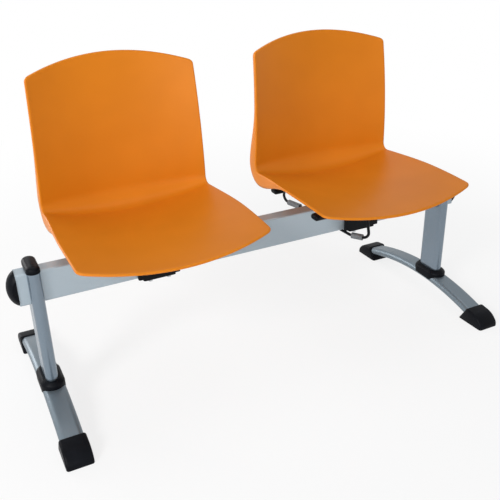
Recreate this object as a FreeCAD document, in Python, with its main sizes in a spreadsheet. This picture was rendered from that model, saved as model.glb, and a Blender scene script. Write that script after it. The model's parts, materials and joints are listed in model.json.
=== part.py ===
import FreeCAD, Part
import math
import os

import Sketcher
from FreeCAD import Placement, Rotation, Vector

# Two-seat beam bench: two moulded shells on a rectangular beam, carried by two uprights on arched feet.
# Millimetres. +X runs along the beam, -Y is the side people sit on, +Z is up.
# The origin is on the floor, under the middle of the bench's bounding box.

DRIVING_SIZES = [
    # whole bench
    ("leg_spacing", 1187, "between the middles of the two legs"),
    ("seat_pitch", 600, "between the middles of the two seats"),
    ("fit_gap", 0.3, "clearance between pieces that fit together"),
    # beam
    ("beam_tall", 80, "beam section, upright side"),
    ("beam_thick", 40, "beam section, flat side"),
    ("beam_wall", 2.5, "beam wall"),
    ("beam_corner", 4, "beam outer corner radius"),
    ("beam_under", 294, "underside of the beam above the floor"),
    ("beam_overhang", 39.5, "beam beyond the middle of each leg"),
    ("end_cap_lip", 2.5, "end cap proud of the beam all round"),
    ("end_cap_bulge", 22, "end cap dome beyond the beam's end"),
    ("end_cap_rim", 10, "how far the dome's ellipsoid is centred inside the beam"),
    ("end_cap_tongue", 18, "end cap tongue inside the beam"),
    # uprights
    ("upright_wide", 30, "upright section along the beam"),
    ("upright_deep", 80, "upright section across the beam"),
    ("upright_wall", 2.5, "upright wall"),
    ("upright_above", 2, "upright above the top of the beam"),
    ("upright_cap_tall", 17, "cap on the upright"),
    ("upright_cap_lip", 1.2, "cap proud of the upright all round"),
    ("upright_cap_round", 7, "rounding of the cap's top edge"),
    ("upright_cap_tongue", 14, "cap tongues inside the upright"),
    # feet
    ("foot_front", 265, "tip of the front shoe ahead of the beam"),
    ("foot_rear", 338, "tip of the rear shoe behind the beam"),
    ("arch_radius", 800, "foot tube's centre line radius"),
    ("arch_crest", 62, "foot tube's centre line above the floor, at its crest"),
    ("bar_wide", 56, "foot tube section, flat side"),
    ("bar_tall", 24, "foot tube section, upright side"),
    ("bar_wall", 2.5, "foot tube wall"),
    ("shoe_tip", 39, "solid tip of a shoe beyond the foot tube's end"),
    ("shoe_long", 90, "shoe along the floor"),
    ("shoe_top_back", 64, "back edge of the shoe's top, from its tip"),
    ("shoe_top_front", 22, "front edge of the shoe's top, from its tip"),
    ("shoe_tall", 42, "shoe height at the back of its top"),
    ("shoe_nose_tall", 36, "shoe height at the front of its top"),
    ("shoe_nose_foot", 14, "height where the nose's curve starts"),
    ("shoe_wide", 63.5, "shoe width"),
    ("shoe_round", 8, "rounding of the shoe's long edges"),
    ("insert_above", 32, "insert in the upright's foot, above the foot tube's crest line"),
    ("foot_bolt_spread", 40, "between the two bolts of a foot"),
    ("foot_bolt_bite", 12, "foot bolt's thread in the insert"),
    ("collar_wide", 59, "collar along the beam"),
    ("collar_deep", 108, "collar across the beam"),
    ("collar_under", 60, "collar's lower edge above the floor"),
    ("collar_tall", 28, "collar height"),
    ("collar_slope", 8, "slope around the collar's top"),
    # saddle and clamp
    ("saddle_wide", 108, "saddle along the beam"),
    ("saddle_cheek", 11, "saddle cheek thickness"),
    ("saddle_plate", 6, "saddle above the beam"),
    ("saddle_arm", 40, "width of the arms that reach the cross bars"),
    ("saddle_web", 8, "thickness of the webs under the arms"),
    ("saddle_round", 4.4, "rounding of the saddle's upright edges"),
    ("clamp_wide", 84, "clamp plate along the beam"),
    ("clamp_thick", 5, "clamp plate thickness"),
    ("clamp_bolt_x", 24, "clamp bolts from the seat's middle, along the beam"),
    # cross bars
    ("front_bar_y", 92, "front cross bar ahead of the beam"),
    ("rear_bar_y", 125, "rear cross bar behind the beam"),
    ("cross_deep", 30, "cross bar section, flat side"),
    ("cross_tall", 16, "cross bar section, upright side"),
    ("cross_wall", 2, "cross bar wall"),
    ("cross_long", 384, "cross bar length without its plugs"),
    ("plug_long", 8, "cross bar plug beyond the bar's end"),
    ("plug_tongue", 14, "cross bar plug inside the bar"),
    ("plug_round", 6, "rounding of the plug's nose"),
    ("shell_screw_x", 150, "shell screws from the seat's middle"),
    ("bar_screw_x", 11, "bar screws from the seat's middle"),
    # fasteners
    ("bolt_six", 6, "small bolts' diameter"),
    ("bolt_eight", 8, "large bolts' diameter"),
    ("leg_bolt_rise", 20, "leg bolts above and below the beam's middle"),
    ("nut_plate_wide", 22, "threaded strip inside the beam"),
    ("shell_screw_bite", 12, "shell screw's thread in its boss"),
    # seat shell, on the line where its sitting face meets its rim
    ("shell_wall", 4.5, "wall of the moulding"),
    ("pan_rear_y", 159, "rear end of the pan behind the beam"),
    ("pan_rear_z", 433.7, "rear end of the pan above the floor"),
    ("pan_side_long", 350, "pan along its side"),
    ("pan_middle_long", 391, "pan along its middle"),
    ("bend_long", 40, "bend between pan and back, along the side"),
    ("back_side_long", 303, "back along its side"),
    ("back_middle_long", 347, "back along its middle"),
    ("front_half", 229, "half width at the front"),
    ("middle_half", 232, "half width at the middle of the pan"),
    ("bend_half", 224, "half width at the bend"),
    ("top_half", 210, "half width at the top"),
    ("front_dish", 19, "hollow across the pan at the front"),
    ("bend_dish", 30, "hollow across the shell at the bend"),
    ("back_dish", 42, "hollow across the back"),
    ("front_rim", 7, "rim depth at the front"),
    ("bend_rim", 40, "rim depth at the bend"),
    ("back_rim", 14, "rim depth up the back"),
    ("rim_fade", 160, "how far from the bend the rim and the hollow settle"),
    ("front_corner", 13, "corner radius of the pan, seen from above"),
    ("top_corner", 11, "corner radius of the back, seen from the front"),
    ("boss_radius", 11, "screw bosses under the pan"),
    ("pilot_skin", 6, "moulding left over each screw's pilot hole"),
    ("rib_thick", 3, "ribs under the pan"),
    ("rib_gap", 5, "ribs clear of the tops of the cross bars"),
    # wire loop under the right seat
    ("wire_thick", 8, "wire diameter"),
    ("wire_bend", 18, "wire bend radius"),
    ("wire_low", 287, "low run of the wire above the floor"),
    ("sleeve_thick", 17, "sleeve diameter"),
    ("front_sleeve_long", 32, "front sleeve's length"),
    ("rear_sleeve_long", 50, "rear sleeve's length"),
    ("wire_slack", 1.7, "extra radius of the hole that the leaning wire enters"),
    ("wire_stop", 0.8, "leaning wire's end below the inner wall that it meets"),
]

# Angles of the seat shell's side profile, in degrees.
PAN_REAR_HEADING = -4.0
PAN_BOW = 9.0
BEND_TURN = 96.4
BACK_BOW = 13.0

# How the shell's surfaces are set out: where the bend's rows start and end as parts of the way along,
# how far they spill over the bend as a part of its length, and how many rows and columns there are.
BEND_SHARES = (0.42, 0.58)
BEND_SPILL = 0.5
PAN_ROWS = 6
BEND_ROWS = 8
BACK_ROWS = 6
COLUMNS = 8

# The step used to follow the side profile, and how closely a place in the pan is searched for.
PROFILE_STEP = 2.0
SEARCH_END = 0.0001

# Length of the tools that round the shell's corners, and how far along and across their edges are sighted.
CORNER_REACH = 1000.0
SIGHT_ALONG = 0.03
SIGHT_ACROSS = 0.05

# How the wire's route leaves the vertical plane: places along and across the beam, from the photo's view.
WIRE_TOP_X = 264
WIRE_FRONT_X = 281
WIRE_NEAR_X = 251
WIRE_FAR_X = 236
WIRE_REAR_X = 216
WIRE_NEAR_Y = -46
WIRE_FAR_Y = 197
WIRE_REAR_Y = 282
WIRE_RISE_Y = 219

# Hexagon heads and nuts as parts of their thread's diameter.
HEX_RADIUS = 0.95
HEAD_TALL = 0.65
NUT_TALL = 0.8

# The beam cap's dome against the cap's outline, so that the cap keeps a thin straight rim.
DOME_TALL = 1.09
DOME_THICK = 1.35

# Cuts that run out at both ends go this much further than what they cut.
RUN_OUT = 1.5

# How closely places have to agree in millimetres, and the wire's volume as a part of itself.
NEAR = 0.01
WIRE_NEAR = 0.02

doc = FreeCAD.newDocument("beam_bench")
sheet = doc.addObject("Spreadsheet::Sheet", "Sizes")


class Size:
    """A number together with the sheet expression that gives it, so that the two always agree."""

    def __init__(self, value, text):
        self.value = value
        self.text = text

    def joined(self, sign, other, value):
        return Size(value, f"({self.text} {sign} {other.text})")

    def __add__(self, other):
        other = as_size(other)
        return self.joined("+", other, self.value + other.value)

    def __sub__(self, other):
        other = as_size(other)
        return self.joined("-", other, self.value - other.value)

    def __mul__(self, other):
        other = as_size(other)
        return self.joined("*", other, self.value * other.value)

    def __truediv__(self, other):
        other = as_size(other)
        return self.joined("/", other, self.value / other.value)

    def __neg__(self):
        return Size(-self.value, f"(-1 * {self.text})")


def as_size(number):
    return number if isinstance(number, Size) else Size(float(number), f"({float(number)})")


def arc_sine(ratio):
    return Size(math.degrees(math.asin(ratio.value)), f"asin({ratio.text})")


def sine(angle):
    return Size(math.sin(math.radians(angle.value)), f"sin({angle.text})")


def cosine(angle):
    return Size(math.cos(math.radians(angle.value)), f"cos({angle.text})")


def fill_sheet():
    """Write every driving size into the sheet and return them by name."""
    sizes = {}
    for row, (alias, value, meaning) in enumerate(DRIVING_SIZES, start=1):
        sheet.set(f"A{row}", meaning)
        sheet.set(f"B{row}", str(value))
        sheet.setAlias(f"B{row}", alias)
        sizes[alias] = Size(float(value), f"Sizes.{alias}")
    doc.recompute()
    return sizes


class Named:
    """The driving sizes as attributes."""

    def __init__(self, sizes):
        self.__dict__.update(sizes)


S = Named(fill_sheet())

# Places that several pieces share.
HALF = as_size(0.5)
LEG_X = S.leg_spacing * HALF
SEAT_X = S.seat_pitch * HALF
BEAM_Y = (S.foot_front - S.foot_rear) * HALF
FOOT_REACH = (S.foot_front + S.foot_rear) * HALF
BEAM_MID = S.beam_under + S.beam_tall * HALF
BEAM_TOP = S.beam_under + S.beam_tall
UPRIGHT_TOP = BEAM_TOP + S.upright_above
ARCH_AXIS_Z = S.arch_crest - S.arch_radius
ARCH_OUTER = S.arch_radius + S.bar_tall * HALF
ARCH_ANGLE = arc_sine((FOOT_REACH - S.shoe_tip) / S.arch_radius)
CROSS_UNDER = BEAM_TOP + S.saddle_plate
CROSS_MID = CROSS_UNDER + S.cross_tall * HALF
CROSS_TOP = CROSS_UNDER + S.cross_tall
CLAMP_BOLT_Y = S.beam_thick * HALF + S.fit_gap + S.saddle_cheek * HALF
SIDES = (("left", -1), ("right", 1))

finished = {}


def keep(label, thing):
    """Give a finished piece its name."""
    thing.Label = label
    finished[label] = thing
    return thing


def bind(thing, **sizes):
    """Tie properties to sizes."""
    for name, size in sizes.items():
        thing.setExpression(name, as_size(size).text)


def place(thing, x=0, y=0, z=0, turn=0, axis=Vector(0, 0, 1)):
    """Put a piece at sizes x, y, z, turned about an axis."""
    turn = as_size(turn)
    spot = [as_size(value) for value in (x, y, z)]
    thing.Placement = Placement(Vector(*[value.value for value in spot]), Rotation(axis, turn.value))
    for letter, value in zip("xyz", spot):
        thing.setExpression(f"Placement.Base.{letter}", value.text)
    return thing


# Sketch helpers

def new_body(name):
    return doc.addObject("PartDesign::Body", name)


def sketch_on(body, plane, lift=None, shift=None):
    """A sketch on one of the body's own planes, lifted along its normal and shifted along its own y."""
    sketch = body.newObject("Sketcher::SketchObject", f"{body.Name}_outline")
    origin_plane = [item for item in body.Origin.OriginFeatures if item.Role == plane][0]
    sketch.AttachmentSupport = (origin_plane, [""])
    sketch.MapMode = "FlatFace"
    if lift is not None:
        sketch.setExpression("AttachmentOffset.Base.z", as_size(lift).text)
    if shift is not None:
        sketch.setExpression("AttachmentOffset.Base.y", as_size(shift).text)
    return sketch


def dimension(sketch, kind, where, size):
    size = as_size(size)
    index = sketch.addConstraint(Sketcher.Constraint(kind, *where, size.value))
    sketch.setExpression(f"Constraints[{index}]", size.text)


def pin(sketch, geometry, point, x, y):
    """Tie a point to its two distances from the sketch's origin."""
    dimension(sketch, "DistanceX", (-1, 1, geometry, point), x)
    dimension(sketch, "DistanceY", (-1, 1, geometry, point), y)


def circle(sketch, x, y, radius):
    x, y, radius = as_size(x), as_size(y), as_size(radius)
    ring = sketch.addGeometry(Part.Circle(Vector(x.value, y.value, 0), Vector(0, 0, 1), radius.value))
    pin(sketch, ring, 3, x, y)
    dimension(sketch, "Radius", (ring,), radius)


def polygon(sketch, corners):
    """A closed outline of straight sides through corners given as pairs of sizes."""
    corners = [(as_size(x), as_size(y)) for x, y in corners]
    lines = []
    for start, end in zip(corners, corners[1:] + corners[:1]):
        first, last = [Vector(x.value, y.value, 0) for x, y in (start, end)]
        lines.append(sketch.addGeometry(Part.LineSegment(first, last)))
    for line, following in zip(lines, lines[1:] + lines[:1]):
        sketch.addConstraint(Sketcher.Constraint("Coincident", line, 2, following, 1))
    for line, (x, y) in zip(lines, corners):
        pin(sketch, line, 1, x, y)
    return lines


def rectangle(sketch, left, right, bottom, top):
    return polygon(sketch, [(left, bottom), (right, bottom), (right, top), (left, top)])


def stadium(sketch, x, y, half_long, radius, upright):
    """Two half rounds joined by straight sides, long along the sketch's y where upright is true."""
    x, y, half_long, radius = [as_size(value) for value in (x, y, half_long, radius)]
    reach = half_long - radius
    along = (0, 1) if upright else (1, 0)
    ends = []
    for sign in (1, -1):
        centre = (x + reach * (sign * along[0]), y + reach * (sign * along[1]))
        start = {(0, 1): 0.0, (1, 0): -math.pi / 2}[along] + (0 if sign > 0 else math.pi)
        ring = Part.Circle(Vector(centre[0].value, centre[1].value, 0), Vector(0, 0, 1), radius.value)
        arc = sketch.addGeometry(Part.ArcOfCircle(ring, start, start + math.pi))
        ends.append((arc, centre))
    (first, first_centre), (second, second_centre) = ends
    for start, end in ((first, second), (second, first)):
        line = Part.LineSegment(point_of(sketch, start, 2), point_of(sketch, end, 1))
        side = sketch.addGeometry(line)
        sketch.addConstraint(Sketcher.Constraint("Tangent", start, 2, side, 1))
        sketch.addConstraint(Sketcher.Constraint("Tangent", side, 2, end, 1))
    pin(sketch, first, 3, *first_centre)
    pin(sketch, second, 3, *second_centre)
    dimension(sketch, "Radius", (first,), radius)
    sketch.addConstraint(Sketcher.Constraint("Equal", first, second))


def point_of(sketch, geometry, which):
    arc = sketch.Geometry[geometry]
    return arc.StartPoint if which == 1 else arc.EndPoint


def rounded(sketch, half_wide, half_tall, radius):
    """A rectangle about the origin with round corners."""
    half_wide, half_tall, radius = as_size(half_wide), as_size(half_tall), as_size(radius)
    arcs = []
    for number, (sx, sy) in enumerate(((1, 1), (-1, 1), (-1, -1), (1, -1))):
        centre = ((half_wide - radius) * sx, (half_tall - radius) * sy)
        ring = Part.Circle(Vector(centre[0].value, centre[1].value, 0), Vector(0, 0, 1), radius.value)
        start = number * math.pi / 2
        arcs.append((sketch.addGeometry(Part.ArcOfCircle(ring, start, start + math.pi / 2)), centre))
    for (arc, _), (following, _) in zip(arcs, arcs[1:] + arcs[:1]):
        line = Part.LineSegment(point_of(sketch, arc, 2), point_of(sketch, following, 1))
        side = sketch.addGeometry(line)
        sketch.addConstraint(Sketcher.Constraint("Tangent", arc, 2, side, 1))
        sketch.addConstraint(Sketcher.Constraint("Tangent", side, 2, following, 1))
    for arc, centre in arcs:
        pin(sketch, arc, 3, *centre)
    dimension(sketch, "Radius", (arcs[0][0],), radius)
    for arc, _ in arcs[1:]:
        sketch.addConstraint(Sketcher.Constraint("Equal", arcs[0][0], arc))


# Feature helpers

def feature(body, kind, sketch, suffix):
    thing = body.newObject(f"PartDesign::{kind}", f"{body.Name}_{suffix}")
    thing.Profile = sketch
    return thing


def pad(body, sketch, length, both_ways=False, reverse=False):
    thing = feature(body, "Pad", sketch, "pad")
    thing.SideType = "Symmetric" if both_ways else "One side"
    thing.Reversed = reverse
    bind(thing, Length=length)
    doc.recompute()
    return thing


def pocket(body, sketch, length=None, reverse=False):
    """Cut a sketch out, right through both ways where no length is given."""
    before = body.Shape.Volume
    thing = feature(body, "Pocket", sketch, "pocket")
    if length is None:
        thing.Type = "ThroughAll"
        thing.SideType = "Symmetric"
    else:
        thing.SideType = "One side"
        thing.Reversed = reverse
        bind(thing, Length=length)
    doc.recompute()
    must_shrink(body, before)
    return thing


def must_shrink(body, before):
    if not body.Shape.Volume < before - NEAR:
        raise RuntimeError(f"a cut in {body.Name} removed nothing")


def turned(body, kind, sketch, angle, both_ways=True, reverse=False):
    """Turn a sketch about its own horizontal axis, to add or to cut."""
    before = body.Shape.Volume if kind == "Groove" else None
    thing = feature(body, kind, sketch, "turned")
    thing.ReferenceAxis = (sketch, ["H_Axis"])
    thing.Midplane = both_ways
    thing.Reversed = reverse
    bind(thing, Angle=angle)
    doc.recompute()
    if before is not None:
        must_shrink(body, before)
    return thing


def soften(body, kind, size, wanted):
    """Fillet or chamfer the edges of the body's last feature that a test picks."""
    tip = body.Tip
    names = [f"Edge{number}" for number, edge in enumerate(tip.Shape.Edges, start=1) if wanted(edge)]
    if not names:
        raise RuntimeError(f"no edge to soften in {body.Name}")
    thing = body.newObject(f"PartDesign::{kind}", f"{body.Name}_{kind.lower()}")
    thing.Base = (tip, names)
    bind(thing, **{"Radius" if kind == "Fillet" else "Size": size})
    doc.recompute()
    return thing


def spans(edge, axis):
    """The lowest and highest reach of an edge along an axis."""
    box = edge.BoundBox
    return getattr(box, f"{axis}Min"), getattr(box, f"{axis}Max")


def lies_at(axis, value):
    def test(edge):
        low, high = spans(edge, axis)
        return abs(low - value) < NEAR and abs(high - value) < NEAR
    return test


def upright_edge(low, high):
    """A straight edge along Z that spans exactly from low to high."""
    def test(edge):
        box = edge.BoundBox
        straight = box.XLength < NEAR and box.YLength < NEAR
        return straight and abs(box.ZMin - low) < NEAR and abs(box.ZMax - high) < NEAR
    return test


# Beam

def make_beam():
    beam = place(new_body("beam_tube"), 0, BEAM_Y, BEAM_MID)
    outline = sketch_on(beam, "YZ_Plane")
    rounded(outline, S.beam_thick * HALF, S.beam_tall * HALF, S.beam_corner)
    pad(beam, outline, S.leg_spacing + S.beam_overhang * 2, both_ways=True)
    bore = sketch_on(beam, "YZ_Plane")
    wall = S.beam_wall
    rounded(bore, S.beam_thick * HALF - wall, S.beam_tall * HALF - wall, S.beam_corner - wall)
    pocket(beam, bore)
    holes = sketch_on(beam, "XZ_Plane")
    for _, side in SIDES:
        for rise in (-1, 1):
            circle(holes, LEG_X * side, S.leg_bolt_rise * rise, S.bolt_eight * HALF + S.fit_gap)
    pocket(beam, holes, S.beam_thick)
    keep("beam_tube", beam)


def make_beam_cap(name, side):
    """A domed plug: an ellipsoid trimmed to a lipped rounded outline, with a tongue inside the beam."""
    half_thick = S.beam_thick * HALF + S.end_cap_lip
    half_tall = S.beam_tall * HALF + S.end_cap_lip
    dome = doc.addObject("Part::Ellipsoid", f"{name}_dome")
    long = S.end_cap_bulge + S.end_cap_rim
    bind(dome, Radius1=half_tall * DOME_TALL, Radius2=long, Radius3=half_thick * DOME_THICK)
    place(dome, -S.end_cap_rim)
    head = new_body(f"{name}_head")
    outline = sketch_on(head, "YZ_Plane")
    rounded(outline, half_thick, half_tall, S.beam_corner + S.end_cap_lip)
    pad(head, outline, S.end_cap_bulge + S.end_cap_lip)
    crown = doc.addObject("Part::Common", f"{name}_crown")
    crown.Base = head
    crown.Tool = dome
    tongue = new_body(f"{name}_tongue")
    plug = sketch_on(tongue, "YZ_Plane")
    slack = S.beam_wall + S.fit_gap
    rounded(plug, S.beam_thick * HALF - slack, S.beam_tall * HALF - slack, S.beam_corner - S.beam_wall)
    pad(tongue, plug, S.end_cap_tongue, reverse=True)
    cap = doc.addObject("Part::Fuse", name)
    cap.Base = crown
    cap.Tool = tongue
    place(cap, (LEG_X + S.beam_overhang) * side, BEAM_Y, BEAM_MID, 0 if side > 0 else 180)
    keep(name, cap)


# Legs

def arch_mouth(body):
    """Cut a body to the top of the foot tube that it stands on."""
    mouth = sketch_on(body, "YZ_Plane")
    circle(mouth, -BEAM_Y, ARCH_AXIS_Z, ARCH_OUTER + S.fit_gap)
    pocket(body, mouth)


def make_upright(name, side):
    upright = place(new_body(name), LEG_X * side, BEAM_Y)
    outline = sketch_on(upright, "XY_Plane", lift=S.arch_crest)
    stadium(outline, 0, 0, S.upright_deep * HALF, S.upright_wide * HALF, True)
    pad(upright, outline, UPRIGHT_TOP - S.arch_crest)
    bore = sketch_on(upright, "XY_Plane", lift=S.arch_crest)
    stadium(bore, 0, 0, S.upright_deep * HALF - S.upright_wall, S.upright_wide * HALF - S.upright_wall, True)
    pocket(upright, bore)
    slot = sketch_on(upright, "YZ_Plane")
    half_slot = S.beam_thick * HALF + S.fit_gap
    rectangle(slot, -half_slot, half_slot, S.beam_under, UPRIGHT_TOP + S.upright_wall)
    pocket(upright, slot)
    arch_mouth(upright)
    holes = sketch_on(upright, "XZ_Plane")
    for rise in (-1, 1):
        circle(holes, 0, BEAM_MID + S.leg_bolt_rise * rise, S.bolt_eight * HALF + S.fit_gap)
    pocket(upright, holes, S.upright_deep)
    keep(name, upright)


def make_upright_cap(name, side):
    cap = place(new_body(name), LEG_X * side, BEAM_Y, UPRIGHT_TOP)
    outline = sketch_on(cap, "XY_Plane")
    radius = S.upright_wide * HALF + S.upright_cap_lip
    stadium(outline, 0, 0, S.upright_deep * HALF + S.upright_cap_lip, radius, True)
    pad(cap, outline, S.upright_cap_tall)
    soften(cap, "Fillet", S.upright_cap_round, lies_at("Z", S.upright_cap_tall.value))
    tongue = sketch_on(cap, "XY_Plane")
    slack = S.upright_wall + S.fit_gap
    stadium(tongue, 0, 0, S.upright_deep * HALF - slack, S.upright_wide * HALF - slack, True)
    pad(cap, tongue, S.upright_cap_tongue, reverse=True)
    slot = sketch_on(cap, "YZ_Plane")
    half_slot = S.beam_thick * HALF + S.fit_gap
    rectangle(slot, -half_slot, half_slot, -(S.upright_cap_tongue + S.fit_gap), 0)
    pocket(cap, slot)
    keep(name, cap)


def make_foot_insert(name, side):
    insert = place(new_body(name), LEG_X * side, BEAM_Y)
    outline = sketch_on(insert, "XY_Plane", lift=S.arch_crest)
    slack = S.upright_wall + S.fit_gap
    stadium(outline, 0, 0, S.upright_deep * HALF - slack, S.upright_wide * HALF - slack, True)
    pad(insert, outline, S.insert_above)
    arch_mouth(insert)
    cut = doc.addObject("Part::Cut", f"{name}_drilled")
    cut.Base = insert
    radius = S.bolt_eight * HALF + S.fit_gap * HALF
    cut.Tool = radial_pair(f"{name}_drill", side, radius, S.arch_radius, S.bar_tall + S.insert_above)
    keep(name, cut)


def bolt_angles():
    """Where the foot bolts stand, as angles about the axis of the arch."""
    return [arc_sine((BEAM_Y + S.foot_bolt_spread * HALF * sign) / S.arch_radius) for sign in (-1, 1)]


def radial_place(thing, side, angle, distance):
    """Stand a piece on a line through the arch's axis, at a distance from it."""
    y = sine(angle) * distance
    z = ARCH_AXIS_Z + cosine(angle) * distance
    place(thing, LEG_X * side, y, z, -angle, Vector(1, 0, 0))
    thing.setExpression("Placement.Rotation.Angle", (-angle).text)


def radial_pair(name, side, radius, distance, length):
    drills = []
    for number, angle in enumerate(bolt_angles(), start=1):
        drill = doc.addObject("Part::Cylinder", f"{name}_{number}")
        bind(drill, Radius=radius, Height=length)
        radial_place(drill, side, angle, distance)
        drills.append(drill)
    both = doc.addObject("Part::MultiFuse", name)
    both.Shapes = drills
    return both


def make_foot_arch(name, side):
    """A flat-oval tube turned about the arch's axis, drilled for the two foot bolts."""
    arch = place(new_body(f"{name}_tube"), LEG_X * side, 0, ARCH_AXIS_Z)
    section = sketch_on(arch, "XZ_Plane")
    stadium(section, 0, S.arch_radius, S.bar_wide * HALF, S.bar_tall * HALF, False)
    turned(arch, "Revolution", section, ARCH_ANGLE * 2)
    bore = sketch_on(arch, "XZ_Plane")
    stadium(bore, 0, S.arch_radius, S.bar_wide * HALF - S.bar_wall, S.bar_tall * HALF - S.bar_wall, False)
    turned(arch, "Groove", bore, ARCH_ANGLE * 2 * RUN_OUT)
    cut = doc.addObject("Part::Cut", name)
    cut.Base = arch
    start = S.arch_radius - S.bar_tall
    cut.Tool = radial_pair(f"{name}_drill", side, S.bolt_eight * HALF + S.fit_gap, start, S.bar_tall * 2)
    keep(name, cut)


def make_foot_cap(name, side, turn):
    """A shoe on one end of the foot tube: a sloped back, a round nose and a socket for the tube."""
    shoe = place(new_body(name), LEG_X * side, 0, 0, turn)
    outline = sketch_on(shoe, "YZ_Plane")
    tip = -FOOT_REACH
    corners = [
        (tip, 0),
        (tip + S.shoe_long, 0),
        (tip + S.shoe_top_back, S.shoe_tall),
        (tip + S.shoe_top_front, S.shoe_nose_tall),
        (tip, S.shoe_nose_foot),
    ]
    polygon(outline, corners)
    pad(shoe, outline, S.shoe_wide, both_ways=True)
    soften(shoe, "Fillet", S.shoe_nose_foot * HALF, at_yz(tip, S.shoe_nose_foot))
    soften(shoe, "Fillet", S.shoe_nose_foot, at_yz(tip + S.shoe_top_front, S.shoe_nose_tall))
    soften(shoe, "Fillet", S.shoe_round, side_edge(S.shoe_wide * HALF))
    socket = sketch_on(shoe, "XZ_Plane", shift=ARCH_AXIS_Z)
    radius = S.bar_tall * HALF + S.fit_gap
    stadium(socket, 0, S.arch_radius, S.bar_wide * HALF + S.fit_gap, radius, False)
    end_gap = arc_sine(S.fit_gap / S.arch_radius)
    turned(shoe, "Groove", socket, ARCH_ANGLE + end_gap, both_ways=False)
    keep(name, shoe)


def at_yz(y, z):
    """An edge along X at y and z."""
    def test(edge):
        box = edge.BoundBox
        here = abs(box.YMin - y.value) < NEAR and abs(box.ZMin - z.value) < NEAR
        return here and box.YLength < NEAR and box.ZLength < NEAR
    return test


def side_edge(half_wide):
    """An edge of a flat side at plus or minus half_wide, above the sole."""
    def test(edge):
        box = edge.BoundBox
        return box.XLength < NEAR and abs(abs(box.XMin) - half_wide.value) < NEAR and box.ZMax > NEAR
    return test


def make_collar(name, side):
    """A sloped collar that hides the joint and hugs the top of the foot tube."""
    collar = place(new_body(name), LEG_X * side, BEAM_Y)
    outline = sketch_on(collar, "XY_Plane", lift=S.collar_under)
    stadium(outline, 0, 0, S.collar_deep * HALF, S.collar_wide * HALF, True)
    pad(collar, outline, S.collar_tall)
    soften(collar, "Chamfer", S.collar_slope, lies_at("Z", (S.collar_under + S.collar_tall).value))
    socket = sketch_on(collar, "XZ_Plane", lift=BEAM_Y, shift=ARCH_AXIS_Z)
    radius = S.bar_tall * HALF + S.fit_gap
    stadium(socket, 0, S.arch_radius, S.bar_wide * HALF + S.fit_gap, radius, False)
    turned(collar, "Groove", socket, ARCH_ANGLE * 2)
    hole = sketch_on(collar, "XY_Plane")
    half_deep = S.upright_deep * HALF + S.fit_gap
    stadium(hole, 0, 0, half_deep, S.upright_wide * HALF + S.fit_gap, True)
    pocket(collar, hole)
    keep(name, collar)


# Fasteners

def hex_bolt(name, diameter, length):
    """A hexagon head below the origin and a shank above it."""
    head = doc.addObject("Part::Prism", f"{name}_head")
    head.Polygon = 6
    bind(head, Circumradius=diameter * HEX_RADIUS, Height=diameter * HEAD_TALL)
    place(head, 0, 0, -(diameter * HEAD_TALL))
    shank = doc.addObject("Part::Cylinder", f"{name}_shank")
    bind(shank, Radius=diameter * HALF, Height=length)
    bolt = doc.addObject("Part::Fuse", name)
    bolt.Base = head
    bolt.Tool = shank
    return bolt


def hex_nut(name, diameter):
    blank = doc.addObject("Part::Prism", f"{name}_blank")
    blank.Polygon = 6
    bind(blank, Circumradius=diameter * HEX_RADIUS, Height=diameter * NUT_TALL)
    thread = doc.addObject("Part::Cylinder", f"{name}_thread")
    bind(thread, Radius=diameter * HALF + S.fit_gap * HALF, Height=diameter)
    nut = doc.addObject("Part::Cut", name)
    nut.Base = blank
    nut.Tool = thread
    return nut


def group(name, things):
    together = doc.addObject("Part::Compound", name)
    together.Links = things
    keep(name, together)


def make_leg_fasteners(side_name, side):
    """Two bolts from behind each upright into a threaded strip inside the beam, and the foot bolts."""
    bolts = []
    reach = S.upright_deep * HALF
    length = reach - S.beam_thick * HALF + S.beam_wall + S.bolt_eight
    for number, rise in enumerate((-1, 1), start=1):
        bolt = hex_bolt(f"leg_bolt_{side_name}_{number}", S.bolt_eight, length)
        z = BEAM_MID + S.leg_bolt_rise * rise
        place(bolt, LEG_X * side, BEAM_Y + reach, z, 90, Vector(1, 0, 0))
        bolts.append(bolt)
    group(f"leg_bolts_{side_name}", bolts)
    strip = place(new_body(f"nut_plate_{side_name}"), LEG_X * side, BEAM_Y, BEAM_MID)
    wall = S.beam_thick * HALF - S.beam_wall
    outline = sketch_on(strip, "XZ_Plane", lift=-wall)
    rounded(outline, S.nut_plate_wide * HALF, S.leg_bolt_rise + S.bolt_eight, S.bolt_eight * HALF)
    pad(strip, outline, S.bolt_eight * HALF)
    holes = sketch_on(strip, "XZ_Plane")
    for rise in (-1, 1):
        circle(holes, 0, S.leg_bolt_rise * rise, S.bolt_eight * HALF + S.fit_gap * HALF)
    pocket(strip, holes)
    keep(f"nut_plate_{side_name}", strip)
    foot_bolts = []
    start = S.arch_radius - S.bar_tall * HALF
    for number, angle in enumerate(bolt_angles(), start=1):
        bolt = hex_bolt(f"foot_bolt_{side_name}_{number}", S.bolt_eight, S.bar_tall + S.foot_bolt_bite)
        radial_place(bolt, side, angle, start - S.fit_gap * HALF)
        foot_bolts.append(bolt)
    group(f"foot_bolts_{side_name}", foot_bolts)


# Seat carriers

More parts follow.
